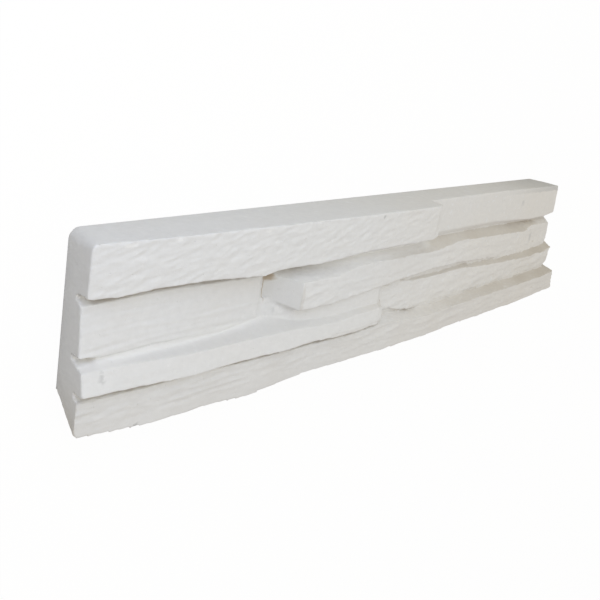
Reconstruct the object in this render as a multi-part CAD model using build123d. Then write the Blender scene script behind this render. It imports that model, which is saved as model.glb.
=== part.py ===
from build123d import *
import os

os.makedirs("parts", exist_ok=True)

# Cast split-stone wall tile, lying on its flat back: X along the courses, Y up the wall, Z out of the back.
# Lengths are in millimetres.

# The flat back, and how far each side leans out for each millimetre of thickness.
back_length = 491.3
back_height = 86.3
lean_left = 0.22
lean_right_high = 0.10
lean_right_low = 0.37
lean_top = 0.04
lean_low_left = 0.62
lean_low_right = 0.20
mould_depth = 50.0

# Rounding of the two left corners, on the back and at the mould's full depth.
top_corner_back = 6.5
top_corner_front = 0.6
low_corner_back = 0.6
low_corner_front = 5.5

slab_depth = 6.0

# The three long joints between the courses: height over the back's lower edge and how far the groove's floor
# stands out, at the left end, at the three stations and at the right end, where the grooves run out.
joint_stations = [0.0, 144.0, 200.0, 466.0, 510.0]
upper_joint = [(56.7, 9.8), (57.6, 16.0), (57.5, 27.0), (56.9, 20.5), (56.8, 23.0)]
middle_joint = [(25.9, 8.6), (27.6, 16.0), (29.0, 24.0), (35.9, 25.0), (37.0, 26.0)]
lower_joint = [(6.9, 14.0), (7.6, 18.0), (8.4, 19.3), (12.2, 25.5), (12.8, 28.5)]
groove_overlap = 1.5
groove_bite = 2.0

# Where the stones of each row meet, from the back's left edge, and how far one runs in behind its neighbour.
top_row_split = 281.0
second_row_split = 121.0
third_row_split = 234.0
tuck = 12.0
chipped_end_length = 26.0
run_out = 30.0

# Each stone is a run of cross-sections. Every one gives how far along the stone it lies (0 to 1), the drop of
# the front's upper edge under the joint above and how far that edge stands out, then the rise of the front's
# lower edge over the joint below and how far that edge stands out.
long_top_stone = [
    (0.00, 0.0, 28.2, 3.7, 27.3),
    (0.06, 0.0, 29.8, 2.6, 28.6),
    (0.13, 0.0, 31.3, 4.1, 30.0),
    (0.25, 0.0, 33.6, 4.0, 32.4),
    (0.39, 0.0, 35.4, 1.2, 34.4),
    (0.44, 0.0, 36.0, 3.3, 35.1),
    (0.57, 0.0, 37.2, 2.8, 36.2),
    (0.72, 0.0, 38.4, 5.9, 37.4),
    (0.97, 0.0, 39.6, 6.2, 39.0),
    (1.00, 0.0, 31.0, 7.5, 37.5),
]
smooth_top_stone = [
    (0.00, 0.0, 26.5, 4.8, 26.4),
    (0.28, 0.0, 24.3, 4.9, 25.9),
    (0.50, 0.0, 23.7, 5.1, 25.6),
    (0.76, 0.0, 25.5, 2.5, 27.8),
    (0.87, 0.0, 26.0, 3.6, 28.8),
    (1.00, 0.0, 26.6, 8.0, 29.7),
]
grained_stone = [
    (0.00, 2.7, 21.2, 1.8, 24.4),
    (0.14, 1.6, 22.3, 0.9, 24.6),
    (0.35, 1.2, 22.6, 1.6, 24.8),
    (0.74, 3.4, 22.8, -2.3, 24.6),
    (0.96, 5.0, 22.8, 0.8, 24.4),
    (1.00, 5.8, 20.0, 1.5, 21.5),
]
chipped_stone_end = [
    (0.00, 9.0, 14.5, 17.5, 14.5),
    (0.25, 8.5, 19.9, 13.5, 19.9),
    (0.42, 4.4, 23.5, 10.0, 23.5),
    (1.00, 7.9, 36.0, 4.0, 36.0),
]
chipped_stone = [
    (0.00, 7.9, 36.0, 4.0, 36.0),
    (0.09, 8.7, 35.5, 2.2, 35.7),
    (0.15, 4.6, 35.0, 3.0, 35.4),
    (0.41, 7.0, 32.1, 5.3, 33.0),
    (0.51, 3.2, 31.0, 3.9, 32.2),
    (0.73, 6.7, 28.8, -4.2, 30.2),
    (0.83, 8.6, 28.0, -4.4, 29.5),
    (0.865, 3.5, 28.0, -5.1, 29.2),
    (0.955, 5.0, 27.4, -6.8, 28.8),
    (0.975, 5.3, 27.1, 4.8, 28.4),
    (1.00, 5.3, 27.1, 7.0, 28.4),
]
ragged_stone = [
    (0.00, -3.0, 29.0, 3.5, 31.0),
    (0.09, -2.0, 29.3, 3.0, 31.1),
    (0.15, 0.4, 29.8, -1.5, 31.4),
    (0.25, 2.4, 31.0, -3.3, 32.0),
    (0.41, 2.2, 31.9, -2.1, 32.6),
    (0.49, 4.7, 32.3, -0.2, 33.0),
    (0.60, 6.9, 33.0, -4.4, 33.5),
    (0.80, 10.1, 33.8, -2.8, 33.6),
    (0.94, 10.2, 34.4, -2.3, 33.7),
    (0.97, 6.0, 34.4, 4.2, 33.7),
    (1.00, 5.0, 34.4, 6.0, 33.7),
]
bottom_stone = [
    (0.00, 1.7, 25.6, 0.0, 24.4),
    (0.09, 1.8, 29.5, 0.0, 30.8),
    (0.17, 1.5, 31.8, 0.0, 31.6),
    (0.22, 1.9, 34.0, 0.0, 34.7),
    (0.32, 3.7, 34.0, 0.0, 33.3),
    (0.40, 4.9, 36.0, 0.0, 36.1),
    (0.48, 3.8, 38.0, 0.0, 38.2),
    (0.55, 7.9, 39.5, 0.0, 39.7),
    (0.61, 6.9, 40.4, 0.0, 40.6),
    (0.64, 6.2, 40.8, 0.0, 39.2),
    (0.85, 5.4, 42.5, 0.0, 44.1),
    (0.95, 5.4, 42.2, 0.0, 43.9),
    (1.00, 3.4, 41.4, 0.0, 44.8),
]

# The stone with the wide ledge also gives the crease at the back of its ledge: its drop under the joint above
# and how far it stands out. From there a low shoulder runs up behind the stones above.
ledge_stone = [
    (0.00, 3.5, 28.0, 3.9, 31.6, 0.5, 8.6),
    (0.05, 3.5, 28.7, 3.3, 32.0, 1.4, 22.5),
    (0.11, 3.6, 29.6, 2.6, 32.6, 2.7, 24.0),
    (0.27, 6.0, 32.2, 0.2, 34.2, 3.7, 24.4),
    (0.42, 6.8, 33.9, 0.6, 35.5, 3.4, 24.0),
    (0.53, 7.5, 35.0, 0.1, 36.6, 0.2, 24.0),
    (0.62, 8.5, 35.5, -0.6, 36.9, 4.8, 31.0),
    (0.71, 11.1, 35.8, -0.9, 37.1, 7.2, 32.6),
    (0.80, 12.5, 36.1, -2.5, 37.4, 8.6, 33.0),
    (0.88, 10.8, 36.4, -3.2, 37.6, 8.6, 33.5),
    (0.97, 11.1, 36.8, -2.0, 37.9, 8.7, 34.0),
    (1.00, 12.9, 34.5, 2.3, 36.0, 9.4, 31.0),
]
shoulder_height = 11.0
shoulder_lean = 1.5

right_end = back_length + lean_right_low * mould_depth


# Height and depth of a joint's groove at a place along the tile.
def groove_at(joint, x):
    x = min(max(x, joint_stations[0]), joint_stations[-1])
    for place in range(len(joint_stations) - 1):
        if x <= joint_stations[place + 1]:
            break
    part = (x - joint_stations[place]) / (joint_stations[place + 1] - joint_stations[place])
    near = joint[place]
    far = joint[place + 1]
    return near[0] + part * (far[0] - near[0]), near[1] + part * (far[1] - near[1])


# Cross-section of a stone. A missing joint means that the stone runs on past the tile's top or bottom side.
def stone_section(x, above, below, drop, out_high, rise, out_low, ledge_drop=None, ledge_out=None):
    if above:
        joint_y, joint_z = groove_at(above, x)
        high = joint_y - drop
        high_root = [(joint_y + groove_overlap, joint_z - groove_bite)]
        if ledge_out:
            shoulder_top = joint_y + shoulder_height
            high_root = [(joint_y - ledge_drop, ledge_out), (shoulder_top, ledge_out - shoulder_lean)]
    else:
        high = back_height + run_out
        high_root = []
    if below:
        joint_y, joint_z = groove_at(below, x)
        low = joint_y + rise
        low_root = [(joint_y - groove_overlap, joint_z - groove_bite)]
    else:
        low = -run_out
        low_root = []
    front = low_root + [(low, out_low), (high, out_high)] + high_root
    root = slab_depth / 2
    outline = [(front[0][0], root)] + front + [(front[-1][0], root)]
    return Wire.make_polygon([Vector(x, y, z) for y, z in outline], close=True)


# A stone, lofted along the tile through its cross-sections. Its left end may run out past the tile's own end.
def stone(start, end, above, below, stations, past_end=False):
    sections = []
    if past_end:
        sections.append(stone_section(start - run_out, above, below, *stations[0][1:]))
    for along, *edges in stations:
        sections.append(stone_section(start + along * (end - start), above, below, *edges))
    return Solid.make_loft(sections, ruled=True)


# Outline of the mould at a distance from the back, with rounded left corners.
def rim(z, low_radius, top_radius):
    left = -lean_left * z
    top = back_height + lean_top * z
    corners = [
        (left, -lean_low_left * z),
        (back_length + lean_right_low * z, -lean_low_right * z),
        (back_length + lean_right_high * z, top),
        (left, top),
    ]
    outline = Wire.make_polygon([Vector(x, y, z) for x, y in corners], close=True)
    for corner, radius in ((corners[0], low_radius), (corners[3], top_radius)):
        nearest = outline.vertices().sort_by_distance(Vector(*corner, z))[0]
        outline = outline.fillet_2d(radius, [nearest])
    return outline


# The shape of the mould: a flat back that spreads out to the front.
def mould():
    back = rim(0.0, low_corner_back, top_corner_back)
    front = rim(mould_depth, low_corner_front, top_corner_front)
    return Solid.make_loft([back, front], ruled=True)


# The plain slab behind the joints.
slab = Box(right_end + 2 * run_out, back_height + 2 * run_out, slab_depth, align=(Align.MIN, Align.MIN, Align.MIN))
slab = slab.moved(Location((-run_out, -run_out, 0)))

# Three quarters of the slanting end stands clear of the grained stone. The rest is buried behind it.
chipped_start = second_row_split + 0.75 * chipped_end_length
left_end = -lean_left * long_top_stone[0][2]
stones = [
    stone(left_end, top_row_split, None, upper_joint, long_top_stone, past_end=True),
    stone(top_row_split - tuck, right_end, None, upper_joint, smooth_top_stone),
    stone(left_end, second_row_split, upper_joint, middle_joint, grained_stone, past_end=True),
    stone(chipped_start - chipped_end_length, chipped_start, upper_joint, middle_joint, chipped_stone_end),
    stone(chipped_start, right_end, upper_joint, middle_joint, chipped_stone),
    stone(left_end, third_row_split, middle_joint, lower_joint, ledge_stone, past_end=True),
    stone(third_row_split - tuck, right_end, middle_joint, lower_joint, ragged_stone),
    stone(left_end, right_end, lower_joint, None, bottom_stone, past_end=True),
]
wall = slab
for piece in stones:
    wall += piece
tile = (wall & mould()).solid()

# The part's own frame: the back on the floor, with the middle of the outline at the origin.
box = tile.bounding_box()
tile = tile.moved(Location((-box.center().X, -box.center().Y, 0)))
print("tile", tile.is_valid, tile.volume, box.size, "moved by", -box.center().X, -box.center().Y)
export_step(tile, "parts/cladding_tile.step")
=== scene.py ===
import bmesh
import bpy
from math import cos, pi, radians, sin
from mathutils import Euler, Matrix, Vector, noise
from mathutils.bvhtree import BVHTree


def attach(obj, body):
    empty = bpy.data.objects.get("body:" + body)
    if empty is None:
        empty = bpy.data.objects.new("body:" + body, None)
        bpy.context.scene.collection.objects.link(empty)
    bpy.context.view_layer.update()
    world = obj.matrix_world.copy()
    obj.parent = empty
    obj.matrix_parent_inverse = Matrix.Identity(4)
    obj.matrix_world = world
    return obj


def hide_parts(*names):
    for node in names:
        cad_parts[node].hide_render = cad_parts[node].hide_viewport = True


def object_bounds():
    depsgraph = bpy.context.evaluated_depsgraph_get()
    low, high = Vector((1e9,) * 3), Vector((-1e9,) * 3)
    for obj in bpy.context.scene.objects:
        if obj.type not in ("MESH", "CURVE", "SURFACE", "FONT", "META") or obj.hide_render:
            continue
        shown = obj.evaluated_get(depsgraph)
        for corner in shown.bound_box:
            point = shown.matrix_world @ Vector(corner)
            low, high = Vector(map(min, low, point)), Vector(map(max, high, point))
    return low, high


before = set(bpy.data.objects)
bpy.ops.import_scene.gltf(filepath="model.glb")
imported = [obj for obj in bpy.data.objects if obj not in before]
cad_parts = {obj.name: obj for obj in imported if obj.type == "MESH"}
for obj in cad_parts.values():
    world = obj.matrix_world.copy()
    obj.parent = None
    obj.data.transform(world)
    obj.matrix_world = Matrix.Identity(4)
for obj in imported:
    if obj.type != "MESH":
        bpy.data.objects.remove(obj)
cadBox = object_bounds()
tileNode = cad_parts["cladding_tile"]


# Camera: the tile lies on its back, and the picture is taken from above its left end,
# turned so that up the wall is up in the picture
cameraSet = {
    "place": (-0.4660, 0.1737, 0.3085),
    "turn": (-32.612, -47.449, 15.453),   # degrees
    "lens": 48.4,
    "sensor": 36.0,
}


def addObject(name, data):
    item = bpy.data.objects.new(name, data)
    bpy.context.scene.collection.objects.link(item)
    return item


def placeCamera():
    data = bpy.data.cameras.new("photoCamera")
    data.lens = cameraSet["lens"]
    data.sensor_width = cameraSet["sensor"]
    data.clip_start = 0.01
    camera = addObject("photoCamera", data)
    camera.location = cameraSet["place"]
    camera.rotation_euler = Euler([radians(a) for a in cameraSet["turn"]])
    bpy.context.scene.camera = camera
    print("camera placed")


# The tile's courses, in metres in the tile's own frame: up the wall is y, and a joint is a line along x
courseSet = {
    "left": -0.257,
    "right": 0.257,
    "station": -0.106,
    # height at the left end, at the station and at the right end
    "joints": {
        "upperJoint": (0.0220, 0.0228, 0.0222),
        "middleJoint": (-0.0090, -0.0073, 0.0022),
        "lowerJoint": (-0.0280, -0.0273, -0.0222),
    },
    # where two stones of a course meet
    "topSplit": 0.031,
    "secondSplit": -0.122,
    "thirdSplit": -0.016,
    # plaster that closes the back of a joint: joint, from, to, how far below and above the joint, how far out
    "packing": [
        ("lowerJoint", -0.022, 0.034, 0.0045, 0.0045, 0.0290),
        ("lowerJoint", 0.030, 0.085, 0.0050, 0.0010, 0.0300),
        ("lowerJoint", 0.080, 0.170, 0.0060, 0.0010, 0.0322),
        ("middleJoint", -0.012, 0.110, 0.0060, 0.0010, 0.0287),
        ("middleJoint", 0.105, 0.155, 0.0070, 0.0000, 0.0292),
        ("middleJoint", 0.150, 0.200, 0.0080, 0.0000, 0.0276),
    ],
    "packingBack": 0.010,
}


def jointHeight(joint, x):
    c = courseSet
    low, mid, high = c["joints"][joint]
    if x < c["station"]:
        return low + (mid - low) * (x - c["left"]) / (c["station"] - c["left"])
    return mid + (high - mid) * (x - c["station"]) / (c["right"] - c["station"])


def jointGap(p):
    return min(abs(p.y - jointHeight(joint, p.x)) for joint in courseSet["joints"])


def stoneAt(p):
    if p.y > jointHeight("upperJoint", p.x):
        return "longTop" if p.x < courseSet["topSplit"] else "smoothTop"
    if p.y > jointHeight("middleJoint", p.x):
        return "grained" if p.x < courseSet["secondSplit"] else "chipped"
    if p.y > jointHeight("lowerJoint", p.x):
        return "ledge" if p.x < courseSet["thirdSplit"] else "ragged"
    return "bottom"


def rise(value, low, high):
    t = max(0.0, min(1.0, (value - low) / (high - low)))
    return t * t * (3 - 2 * t)


# Relief of each stone's face: length and height of its ripples, their slant in degrees, how deep they are,
# how sharp their crests are, how deep its split layers are, and how much finer grain is laid over it all
stoneRelief = {
    "longTop": {"along": 0.0085, "across": 0.0026, "slant": 14, "depth": 0.0007, "crest": 0.5,
                "strata": 0.0, "grain": 0.00022},
    "smoothTop": {"along": 0.060, "across": 0.0200, "slant": 0, "depth": 0.0003, "crest": 0.0,
                  "strata": 0.0, "grain": 0.00010},
    "grained": {"along": 0.045, "across": 0.0020, "slant": 1, "depth": 0.0005, "crest": 0.3,
                "strata": 0.0, "grain": 0.00018},
    "chipped": {"along": 0.022, "across": 0.0050, "slant": 3, "depth": 0.0009, "crest": 0.6,
                "strata": 0.0004, "grain": 0.00030},
    "ledge": {"along": 0.050, "across": 0.0040, "slant": 2, "depth": 0.0003, "crest": 0.3,
              "strata": 0.0, "grain": 0.00014},
    "ragged": {"along": 0.018, "across": 0.0050, "slant": 7, "depth": 0.0009, "crest": 0.6,
               "strata": 0.0004, "grain": 0.00030},
    "bottom": {"along": 0.026, "across": 0.0032, "slant": 3, "depth": 0.0010, "crest": 0.6,
               "strata": 0.0006, "grain": 0.00030},
    "side": {"along": 0.030, "across": 0.0300, "slant": 0, "depth": 0.0002, "crest": 0.0,
             "strata": 0.0, "grain": 0.00016},
}
stoneSeeds = {name: 11.3 * k for k, name in enumerate(sorted(stoneRelief))}

reliefSet = {
    "voxel": 0.0007,
    "softenSteps": 1,
    "soften": 0.4,
    "triangles": 190000,
    # how far the ripples wander up and down, and over what length and height
    "bend": 0.8, "bendLength": 0.04, "bendHeight": 0.03,
    "crestPinch": 2.6,
    "grainLength": 0.005, "grainHeight": 0.0018, "grainOut": 0.004,
    # split layers: height of a layer, how it drifts, where it is broken away, and its lip
    "strataPitch": 0.0075,
    "driftLength": 0.06, "driftHeight": 0.02,
    "breakLength": 0.025, "breakHeight": 0.008,
    "strataLip": 0.35,
    # a face is a side up to the first tilt towards the front, and front from the second on
    "sideTilt": 0.25, "tiltSpan": 0.4,
    "edgeCrumble": 0.00035,
    "edgeGrain": 0.003,
    "crumbleAbove": -0.045,
    "slantEnd": (-0.140, -0.108),   # the slanting end of the chipped stone is smooth
    "calmEnd": 0.85,
    "leftTurn": (0.2, 0.45),        # how far its face looks to the left
    "calmFoot": 0.65,               # the lowest edge is calmer too
    "foot": (0.040, 0.049),
    "mouth": (-0.244, -0.256),      # the joints open out a little at the tile's left end
    "mouthOpen": 0.0026,
    "mouthFront": 0.030,
    "mouthFade": (0.021, 0.027),
    "mouthGap": (0.003, 0.006),
}


def ripple(p, stone):
    s = stoneRelief[stone]
    r = reliefSet
    seed = stoneSeeds[stone]
    slant = radians(s["slant"])
    u = p.x + p.y * sin(slant)
    v = p.y - p.x * sin(slant)
    bend = noise.noise(Vector((u / r["bendLength"], v / r["bendHeight"], seed))) * r["bend"]
    q = Vector((u / s["along"], v / s["across"] + bend, seed + p.z * 12))
    coarse = noise.noise(q)
    crest = 1 - r["crestPinch"] * abs(noise.noise(q * 0.8 + Vector((3, 7, 1))))
    fine = noise.noise(Vector((u / r["grainLength"], v / r["grainHeight"], seed + p.z / r["grainOut"])))
    height = s["depth"] * ((1 - s["crest"]) * coarse + s["crest"] * (0.55 * crest - 0.3)) + s["grain"] * fine
    if s["strata"]:
        # each layer leans out a little and breaks off at its lower edge
        drift = noise.noise(Vector((u / r["driftLength"], v / r["driftHeight"], seed + 5)))
        part = (v / r["strataPitch"] + drift) % 1
        hold = noise.noise(Vector((u / r["breakLength"], v / r["breakHeight"], seed + 9)))
        broken = max(0.0, min(1.0, 0.5 + 1.8 * hold))
        height += s["strata"] * broken * (rise(part, 0.0, r["strataLip"]) - part)
    return height


def reliefShift(p, n):
    r = reliefSet
    facing = max(0.0, min(1.0, (n.z - r["sideTilt"]) / r["tiltSpan"]))
    move = 0.0
    if facing > 0:
        stone = stoneAt(p)
        rough = facing
        if stone == "bottom":
            rough *= 1 - r["calmFoot"] * rise(-p.y, *r["foot"])
        if r["slantEnd"][0] < p.x < r["slantEnd"][1] and stone in ("chipped", "grained"):
            rough *= 1 - r["calmEnd"] * rise(-n.x, *r["leftTurn"])
        move += rough * ripple(p, stone)
    if facing < 1:
        move += (1 - facing) * ripple(p, "side")
    edge = 1 - abs(2 * facing - 1)
    if edge > 0 and p.y > r["crumbleAbove"]:
        move -= edge * r["edgeCrumble"] * max(0.0, noise.noise(p / r["edgeGrain"]) + 0.3)
    shift = n * move
    if p.x < r["mouth"][0] and p.z < r["mouthFront"]:
        inner = rise(p.x, *r["mouth"]) * (1 - rise(p.z, *r["mouthFade"])) * (1 - rise(jointGap(p), *r["mouthGap"]))
        shift.y += r["mouthOpen"] * inner * rise(-n.y, 0.0, 0.5)
    return shift


# Even small faces all over a copy of the cast, with the packing of the joints grown into it
def voxelCopy(voxel):
    work = bmesh.new()
    work.from_mesh(tileNode.data)
    bmesh.ops.remove_doubles(work, verts=work.verts, dist=0.000005)
    for joint, start, end, below, above, out in courseSet["packing"]:
        cube = bmesh.ops.create_cube(work, size=1.0)
        for vert in cube["verts"]:
            x = start if vert.co.x < 0 else end
            y = jointHeight(joint, x) + (above if vert.co.y > 0 else -below)
            vert.co = (x, y, courseSet["packingBack"] if vert.co.z < 0 else out)
    mesh = bpy.data.meshes.new("gypsumTile")
    work.to_mesh(mesh)
    work.free()
    rough = addObject("roughTile", mesh)
    remesh = rough.modifiers.new("remesh", "REMESH")
    remesh.mode = "VOXEL"
    remesh.voxel_size = voxel
    remesh.adaptivity = 0.0
    return appliedMesh(rough)


def thinned(mesh, triangles):
    dense = addObject("denseTile", mesh)
    fewer = dense.modifiers.new("fewer", "DECIMATE")
    fewer.decimate_type = "COLLAPSE"
    fewer.ratio = min(1.0, triangles / triangleCount(mesh))
    return appliedMesh(dense)


def appliedMesh(item):
    mesh = bpy.data.meshes.new_from_object(item.evaluated_get(bpy.context.evaluated_depsgraph_get()))
    bpy.data.objects.remove(item)
    return mesh


def triangleCount(mesh):
    return sum(len(f.vertices) - 2 for f in mesh.polygons)


def keepInBox(verts):
    for vert in verts:
        for k in range(3):
            vert.co[k] = max(cadBox[0][k], min(cadBox[1][k], vert.co[k]))


# Coats, each kept in an attribute of the mesh, laid over each other in this order: a beige film on the faces that
# look up the wall, thicker towards the right end, partly dust and partly painted shade, with painted warm shade at
# the foot of the left end;
# plain grey painted shade on the wide ledge, the slanting end and the far right of the top side, with a smudge and
# painted shade in small dents;
# brown dust and painted shade deep in the joints where the open air can't reach; and fresh white plaster on chips
# of the top edge, with painted light in the mouths of the joints, on the shoulder, at the back of the upper ledge
# and as a glint.
coatNames = ("filmAndPaintedShade", "shade", "dustAndPaintedShade", "chalkAndPaintedLight")

dirtAndPaintedLightSet = {
    "rays": 14, "reach": 0.009, "rayStart": 0.0004,
    # brown dust and painted shade in the joints, darker where a point is shut in
    "joint": 0.40, "jointShut": (0.42, 0.80), "jointEndClean": (-0.2560, -0.2520),
    # beige film with painted shade: least and most of it, how far a face has to look up the wall, and where it
    # gets thicker
    "ledgeLeft": 0.08, "ledge": 0.58, "ledgeLook": (0.30, 0.55), "ledgeSpread": (-0.10, 0.08),
    "patch": 0.030,
    "farMore": 0.25, "farSpread": (0.15, 0.24),
    "upperLedgeAbove": 0.005, "upperLedgeClean": 0.80, "upperLedgeEnd": (0.212, 0.228),
    "bottomLedge": 0.80, "bottomSpread": (0.00, 0.16),
    "bottomStone": 0.10, "bottomPatch": 0.020,
    # painted warm shade, darker towards the foot of the left end
    "endFoot": 0.46, "endFootSpread": (0.018, 0.056),
    # the wide ledge gets painted shade in front and painted light on the shoulder behind
    "wideLedge": 0.24, "wideLook": (0.2, 0.8), "wideFront": (0.024, 0.033),
    "wideLeft": (-0.248, -0.210), "wideRight": (-0.07, -0.015),
    "shoulderPaintedLight": 0.45, "shoulderTop": (0.0240, 0.0280), "shoulderEnd": (-0.14, -0.11),
    # the upper ledge gets painted light at its back, under the long top stone
    "upperLedgePaintedLight": 0.70, "upperLightDeep": (0.002, 0.006),
    "upperLightLeft": (-0.112, -0.095), "upperLightRight": (0.030, 0.045),
    # painted shade on the slanting end of the chipped stone
    "slantEnd": 0.26, "slantFrom": -0.132, "slantTo": -0.105,
    # painted shade on the top side, darker towards its far right end
    "topSide": 0.0485, "topFarRight": 0.50, "topSpread": (0.10, 0.26),
    # painted light in the mouths of the joints at the left end
    "mouthPaintedLight": 0.90, "mouthEnd": (0.247, 0.250), "mouthGap": (0.003, 0.0045), "mouthDeep": (0.006, 0.024),
    # spots: coat, place, size along each axis, strength
    "spots": [
        ("dustAndPaintedShade", (-0.1272, 0.0165, 0.0212), (0.0042, 0.0030, 0.0060), 0.90),     # painted shade in the hole over the slanting end
        ("dustAndPaintedShade", (-0.1292, 0.0110, 0.0220), (0.0007, 0.0095, 0.0060), 0.80),     # crack beside it
        ("dustAndPaintedShade", (-0.0158, -0.0160, 0.0330), (0.0008, 0.0110, 0.0060), 0.60),    # crack at the wide ledge's end
        ("filmAndPaintedShade", (-0.1085, 0.0030, 0.0355), (0.0016, 0.0110, 0.0040), 0.24),     # edges of the slanting end
        ("filmAndPaintedShade", (-0.1060, -0.0070, 0.0350), (0.0060, 0.0014, 0.0040), 0.30),
        ("chalkAndPaintedLight", (-0.2360, 0.0505, 0.0290), (0.0040, 0.0012, 0.0030), 0.80),    # chips on the top edge
        ("chalkAndPaintedLight", (-0.2080, 0.0510, 0.0300), (0.0022, 0.0014, 0.0030), 0.80),
        ("chalkAndPaintedLight", (-0.1480, 0.0505, 0.0330), (0.0030, 0.0010, 0.0030), 0.70),
        ("chalkAndPaintedLight", (-0.0160, -0.0210, 0.0300), (0.0024, 0.0024, 0.0040), 0.80),   # painted glint at the crack's foot
        ("shade", (-0.2452, -0.0162, 0.0297), (0.0010, 0.0040, 0.0040), 0.45),   # smudge, and painted shade in small dents
        ("shade", (-0.2203, -0.0507, 0.0291), (0.0012, 0.0012, 0.0020), 0.80),
        ("shade", (-0.0436, 0.0507, 0.0379), (0.0010, 0.0010, 0.0020), 0.60),
        ("shade", (0.1815, 0.0402, 0.0265), (0.0022, 0.0026, 0.0030), 0.30),
        ("shade", (0.2120, 0.0070, 0.0286), (0.0022, 0.0050, 0.0040), 0.35),
    ],
    "spotReach": 0.01,
}


def spotAt(p, place, size):
    away = sum(((p[k] - place[k]) / size[k]) ** 2 for k in range(3))
    return 1 - rise(away, 0.4, 1.3)


# Directions spread over the half of the sky that a face looks at
def rayFan(count):
    golden = pi * (3 - 5 ** 0.5)
    fan = []
    for k in range(count):
        up = (k + 0.5) / count * 0.9 + 0.08
        flat = (1 - up * up) ** 0.5
        fan.append((flat * cos(k * golden), flat * sin(k * golden), up))
    return fan


# Share of the fan that meets the tile again close by: 0 in the open, 1 deep in a joint
def shutIn(tree, p, n, fan):
    side = n.orthogonal().normalized()
    other = n.cross(side)
    start = p + n * dirtAndPaintedLightSet["rayStart"]
    hits = 0
    for a, b, up in fan:
        if tree.ray_cast(start, side * a + other * b + n * up, dirtAndPaintedLightSet["reach"])[0]:
            hits += 1
    return hits / len(fan)


# A beige film on the faces that look up the wall, partly dust and partly painted shade, thicker towards the right
# end, more on the bottom stone, and painted warm shade at the foot of the left end
def ledgeFilmAndPaintedShade(p, n, stone):
    d = dirtAndPaintedLightSet
    right = rise(p.x, *d["ledgeSpread"])
    if stone == "bottom":
        right = d["bottomLedge"] * rise(p.x, *d["bottomSpread"])
    far = 1 + d["farMore"] * rise(p.x, *d["farSpread"])
    if p.y > d["upperLedgeAbove"]:
        far *= 1 - d["upperLedgeClean"] * rise(p.x, *d["upperLedgeEnd"])
    patchy = 0.92 + 0.3 * noise.noise(p / d["patch"])
    filmAndPaintedShade = (d["ledgeLeft"] + (d["ledge"] - d["ledgeLeft"]) * right) * rise(n.y, *d["ledgeLook"]) * patchy * far
    if stone == "bottom" and n.z > 0.3:
        filmAndPaintedShade += d["bottomStone"] * (1 + 0.6 * noise.noise(p / d["bottomPatch"]))
    if n.x < -0.5:
        filmAndPaintedShade += d["endFoot"] * rise(-p.y, *d["endFootSpread"])
    return filmAndPaintedShade


def coatsAt(p, n, shut):
    d = dirtAndPaintedLightSet
    coat = dict.fromkeys(coatNames, 0.0)
    # brown dust and painted shade, darker where a point is shut in, but not at the very left end
    coat["dustAndPaintedShade"] = d["joint"] * rise(shut, *d["jointShut"]) * rise(p.x, *d["jointEndClean"])
    if p.y < d["topSide"]:
        stone = stoneAt(p)
        coat["filmAndPaintedShade"] = ledgeFilmAndPaintedShade(p, n, stone)
        # painted shade on the front of the wide ledge, and painted light on the shoulder behind it
        if stone == "ledge":
            front = 0.45 + 0.55 * rise(p.z, *d["wideFront"])
            along = (1 - rise(p.x, *d["wideRight"])) * rise(p.x, *d["wideLeft"])
            coat["shade"] += d["wideLedge"] * front * rise(n.y, *d["wideLook"]) * along
            low = 1 - rise(p.z, *d["shoulderTop"])
            inside = (1 - rise(p.x, *d["shoulderEnd"])) * (1 - rise(-n.x, 0.3, 0.6))
            coat["chalkAndPaintedLight"] += d["shoulderPaintedLight"] * low * inside
        if stone == "chipped":
            # painted light at the back of the upper ledge, under the long top stone
            back = 1 - rise(jointHeight("upperJoint", p.x) - p.y, *d["upperLightDeep"])
            along = rise(p.x, *d["upperLightLeft"]) * (1 - rise(p.x, *d["upperLightRight"]))
            coat["chalkAndPaintedLight"] += d["upperLedgePaintedLight"] * back * along
        # painted shade on the slanting end of the chipped stone
        if d["slantFrom"] < p.x < d["slantTo"] and p.y > jointHeight("middleJoint", p.x):
            coat["shade"] += d["slantEnd"] * rise(-n.x, *reliefSet["leftTurn"])
    else:
        # painted shade on the top side, darker towards its far right end
        coat["shade"] += d["topFarRight"] * rise(p.x, *d["topSpread"]) ** 1.5
    # painted light in the mouths of the joints at the left end
    if p.x < reliefSet["mouth"][0] and d["mouthDeep"][0] < p.z < d["mouthDeep"][1]:
        inside = rise(-p.x, *d["mouthEnd"]) * (1 - rise(jointGap(p), *d["mouthGap"]))
        coat["chalkAndPaintedLight"] += d["mouthPaintedLight"] * inside * rise(n.y, 0.1, 0.5)
    for name, place, size, strength in d["spots"]:
        if abs(p.x - place[0]) < d["spotReach"]:
            coat[name] = max(coat[name], strength * spotAt(p, place, size))
    return coat


# Lays the coats of dust, film, painted shade and painted light on every point off the back
def addDirtAndPaintedLight(mesh):
    work = bmesh.new()
    work.from_mesh(mesh)
    work.normal_update()
    tree = BVHTree.FromBMesh(work)
    fan = rayFan(dirtAndPaintedLightSet["rays"])
    layers = {name: mesh.attributes.new(name, "FLOAT", "POINT") for name in coatNames}
    for k, vert in enumerate(work.verts):
        if vert.co.z < 0.001:
            continue
        coat = coatsAt(vert.co, vert.normal, shutIn(tree, vert.co, vert.normal, fan))
        for name in coatNames:
            layers[name].data[k].value = max(0.0, min(1.0, coat[name]))
    work.free()
    print("dirt laid")


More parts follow.
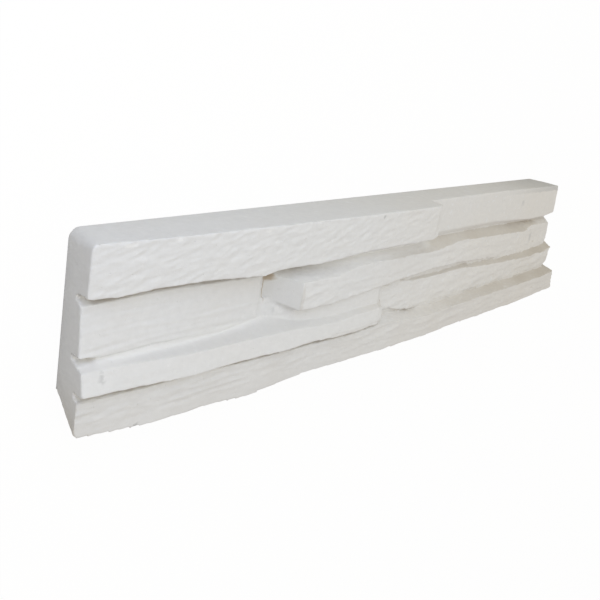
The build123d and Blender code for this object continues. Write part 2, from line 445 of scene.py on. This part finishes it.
def makeTile():
    r = reliefSet
    work = bmesh.new()
    work.from_mesh(voxelCopy(r["voxel"]))
    print("voxel copy", len(work.verts), "points")
    for step in range(r["softenSteps"]):
        bmesh.ops.smooth_vert(work, verts=work.verts, factor=r["soften"],
                              use_axis_x=True, use_axis_y=True, use_axis_z=True)
    work.normal_update()
    # the flat back, and the rim that stands on the floor, stay as they are
    for vert in work.verts:
        if vert.co.z < r["voxel"]:
            vert.tag = True
            vert.co.z = 0.0 if vert.normal.z < -0.5 else vert.co.z
    shifts = [reliefShift(vert.co, vert.normal) for vert in work.verts]
    for vert, shift in zip(work.verts, shifts):
        if not vert.tag:
            vert.co += shift
    keepInBox(work.verts)
    mesh = bpy.data.meshes.new("gypsumTile")
    work.to_mesh(mesh)
    work.free()
    mesh = thinned(mesh, r["triangles"])
    keepInBox(mesh.vertices)
    print("tile mesh", len(mesh.vertices), "points,", triangleCount(mesh), "triangles")
    for face in mesh.polygons:
        face.use_smooth = True
    addDirtAndPaintedLight(mesh)
    tile = addObject("gypsum_tile", mesh)
    tile.data.materials.append(gypsumMaterial())
    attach(tile, "root")
    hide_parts("cladding_tile")
    return tile


# Matte white cast gypsum, with painted warm light that makes it a little creamier towards its right end, with its
# coats of dust, film, painted shade and painted light, and small air pits
gypsumSet = {
    "white": (0.795, 0.795, 0.790, 1),
    # painted warm light: its cream colour, and where along the tile it grows
    "creamAndPaintedWarmLight": (0.790, 0.762, 0.715, 1),
    "paintedWarmFrom": -0.10, "paintedWarmTo": 0.26,
    "blotchScale": 16, "blotch": 0.22,
    "fleck": (0.825, 0.825, 0.820, 1),
    "fleckScale": 260, "fleckFrom": 0.64, "fleckTo": 0.74,
    "mottleScale": 240, "mottle": 0.10, "mottleFrom": 0.35, "mottleTo": 0.70,
    # colours of the coats: brown dust with painted shade, a beige film with painted shade, grey painted shade, and
    # white plaster with painted light
    "dustAndPaintedShade": (0.440, 0.360, 0.270, 1),
    "filmAndPaintedShade": (0.470, 0.415, 0.335, 1),
    "shade": (0.450, 0.453, 0.448, 1),
    "chalkAndPaintedLight": (0.900, 0.900, 0.890, 1),
    "roughness": 0.92,
    "specular": 0.25,
    "grainScale": 900, "grainDepth": 0.00012,
    "pitScale": 170, "pitSize": 0.10, "pitDepth": 0.0006,
    "bumpStrength": 0.5,
}


def addNode(tree, kind, **values):
    node = tree.nodes.new(kind)
    for name, value in values.items():
        if name in node.inputs:
            node.inputs[name].default_value = value
        else:
            setattr(node, name, value)
    return node


def addNoise(tree, place, **values):
    cloud = addNode(tree, "ShaderNodeTexNoise", **values)
    tree.links.new(place, cloud.inputs["Vector"])
    return cloud.outputs["Fac"]


# A value stretched from its own range to 0 and 1, or to 0 and the given top
def stretched(tree, value, low, high, top=1.0):
    span = tree.nodes.new("ShaderNodeMapRange")
    span.inputs["From Min"].default_value = low
    span.inputs["From Max"].default_value = high
    span.inputs["To Max"].default_value = top
    tree.links.new(value, span.inputs["Value"])
    return span.outputs["Result"]


# A colour laid over a colour, as thick as the amount says
def laidOver(tree, under, colour, amount):
    over = tree.nodes.new("ShaderNodeMix")
    over.data_type = "RGBA"
    factor, first, second = over.inputs[0], over.inputs[6], over.inputs[7]   # the colour mix's own sockets
    if isinstance(under, tuple):
        first.default_value = under
    else:
        tree.links.new(under, first)
    second.default_value = colour
    tree.links.new(amount, factor)
    return over.outputs[2]


def gypsumMaterial():
    s = gypsumSet
    material = bpy.data.materials.new("whiteGypsum")
    material.use_nodes = True
    tree = material.node_tree
    link = tree.links.new
    shader = tree.nodes["Principled BSDF"]
    shader.inputs["Roughness"].default_value = s["roughness"]
    shader.inputs["Specular IOR Level"].default_value = s["specular"]
    place = tree.nodes.new("ShaderNodeTexCoord").outputs["Object"]

    # painted warm light: a cream tint that grows along the tile, broken up by soft blotches of cream
    axes = tree.nodes.new("ShaderNodeSeparateXYZ")
    link(place, axes.inputs["Vector"])
    along = stretched(tree, axes.outputs["X"], s["paintedWarmFrom"], s["paintedWarmTo"])
    swing = addNode(tree, "ShaderNodeMath", operation="MULTIPLY_ADD")
    swing.inputs[1].default_value = 4 * s["blotch"]
    swing.inputs[2].default_value = -2 * s["blotch"]
    link(addNoise(tree, place, Scale=s["blotchScale"], Detail=5.0, Roughness=0.6), swing.inputs[0])
    creamAndWarmLight = addNode(tree, "ShaderNodeMath", operation="ADD", use_clamp=True)
    link(along, creamAndWarmLight.inputs[0])
    link(swing.outputs["Value"], creamAndWarmLight.inputs[1])
    colour = laidOver(tree, s["white"], s["creamAndPaintedWarmLight"], creamAndWarmLight.outputs["Value"])

    # pale flecks of plaster, then faint grey mottling
    fleck = addNoise(tree, place, Scale=s["fleckScale"], Detail=2.0, Roughness=0.5)
    colour = laidOver(tree, colour, s["fleck"], stretched(tree, fleck, s["fleckFrom"], s["fleckTo"]))
    mottle = addNoise(tree, place, Scale=s["mottleScale"], Detail=4.0, Roughness=0.65)
    faint = stretched(tree, mottle, s["mottleFrom"], s["mottleTo"], s["mottle"])
    colour = laidOver(tree, colour, s["shade"], faint)

    # the coats of dust, film, painted shade and painted light, laid over the colour in turn
    for name in coatNames:
        coat = addNode(tree, "ShaderNodeAttribute", attribute_name=name)
        colour = laidOver(tree, colour, s[name], coat.outputs["Fac"])
    link(colour, shader.inputs["Base Color"])

    # fine grain and scattered air pits
    grain = addNoise(tree, place, Scale=s["grainScale"], Detail=3.0)
    cells = addNode(tree, "ShaderNodeTexVoronoi", Scale=s["pitScale"])
    link(place, cells.inputs["Vector"])
    pitBump = addNode(tree, "ShaderNodeBump", Strength=s["bumpStrength"], Distance=s["pitDepth"])
    link(stretched(tree, cells.outputs["Distance"], 0.0, s["pitSize"]), pitBump.inputs["Height"])
    bump = addNode(tree, "ShaderNodeBump", Strength=s["bumpStrength"], Distance=s["grainDepth"])
    link(grain, bump.inputs["Height"])
    link(pitBump.outputs["Normal"], bump.inputs["Normal"])
    link(bump.outputs["Normal"], shader.inputs["Normal"])
    return material


# Pale floor that reads as white paper to the camera and keeps a soft shadow
floorSet = {
    "size": 6.0,
    "colour": (0.56, 0.55, 0.52, 1),
    "roughness": 0.9,
    "paper": 0.93,   # how far the camera sees plain paper
    "paperLight": 1.035,
}


def makeFloor():
    f = floorSet
    work = bmesh.new()
    bmesh.ops.create_grid(work, x_segments=1, y_segments=1, size=f["size"])
    mesh = bpy.data.meshes.new("floor")
    work.to_mesh(mesh)
    work.free()
    floor = addObject("floor", mesh)
    material = bpy.data.materials.new("paleFloor")
    material.use_nodes = True
    tree = material.node_tree
    link = tree.links.new
    shader = tree.nodes["Principled BSDF"]
    shader.inputs["Base Color"].default_value = f["colour"]
    shader.inputs["Roughness"].default_value = f["roughness"]
    shader.inputs["Specular IOR Level"].default_value = 0.0
    paper = addNode(tree, "ShaderNodeEmission", Color=(1, 1, 1, 1), Strength=f["paperLight"])
    rays = tree.nodes.new("ShaderNodeLightPath")
    seen = addNode(tree, "ShaderNodeMath", operation="MULTIPLY")
    seen.inputs[1].default_value = f["paper"]
    link(rays.outputs["Is Camera Ray"], seen.inputs[0])
    blend = tree.nodes.new("ShaderNodeMixShader")
    link(seen.outputs["Value"], blend.inputs["Fac"])
    link(shader.outputs["BSDF"], blend.inputs[1])
    link(paper.outputs["Emission"], blend.inputs[2])
    link(blend.outputs["Shader"], tree.nodes["Material Output"].inputs["Surface"])
    floor.data.materials.append(material)
    print("floor laid")


# Soft studio light: an even sky, with panels over the top side and near the left end
lightSet = {
    "sky": 0.626,
    "skyColour": (1.0, 0.982, 0.974, 1),
    "panels": [
        {"name": "topPanel", "place": (-0.20, 1.20, 0.35), "aim": (0, 0, 0), "size": 0.6, "watts": 1.35,
         "colour": (1.0, 0.97, 0.84)},
        {"name": "highPanel", "place": (-0.20, 0.85, 0.80), "aim": (0, 0, 0), "size": 0.6, "watts": 1.38,
         "colour": (0.88, 1.0, 0.97)},
        {"name": "nearPanel", "place": (-0.50, 0.20, 0.70), "aim": (0, 0, 0), "size": 0.6, "watts": 0.96,
         "colour": (1.0, 0.95, 0.70)},
        {"name": "lowPanel", "place": (0.75, -0.75, 0.70), "aim": (0, 0, 0), "size": 0.6, "watts": 0.45,
         "colour": (1.0, 0.80, 0.72)},
        {"name": "closePanel", "place": (-0.40, 0.30, 0.25), "aim": (-0.2, 0, 0), "size": 0.25, "watts": 0.31,
         "colour": (0.45, 0.57, 1.0)},
    ],
}


def lightScene():
    world = bpy.data.worlds.new("sky")
    world.use_nodes = True
    tree = world.node_tree
    link = tree.links.new
    sky = tree.nodes["Background"]
    sky.inputs["Color"].default_value = lightSet["skyColour"]
    sky.inputs["Strength"].default_value = lightSet["sky"]
    paper = addNode(tree, "ShaderNodeBackground", Color=(1, 1, 1, 1))
    rays = tree.nodes.new("ShaderNodeLightPath")
    blend = tree.nodes.new("ShaderNodeMixShader")
    link(rays.outputs["Is Camera Ray"], blend.inputs["Fac"])
    link(sky.outputs["Background"], blend.inputs[1])
    link(paper.outputs["Background"], blend.inputs[2])
    link(blend.outputs["Shader"], tree.nodes["World Output"].inputs["Surface"])
    bpy.context.scene.world = world
    for p in lightSet["panels"]:
        data = bpy.data.lights.new(p["name"], "AREA")
        data.size = p["size"]
        data.energy = p["watts"]
        data.color = p["colour"]
        lamp = addObject(p["name"], data)
        lamp.location = p["place"]
        lamp.rotation_euler = (Vector(p["aim"]) - Vector(p["place"])).to_track_quat("-Z", "Y").to_euler()
    bpy.context.scene.view_settings.view_transform = "Standard"
    print("lights set")


placeCamera()
makeTile()
makeFloor()
lightScene()
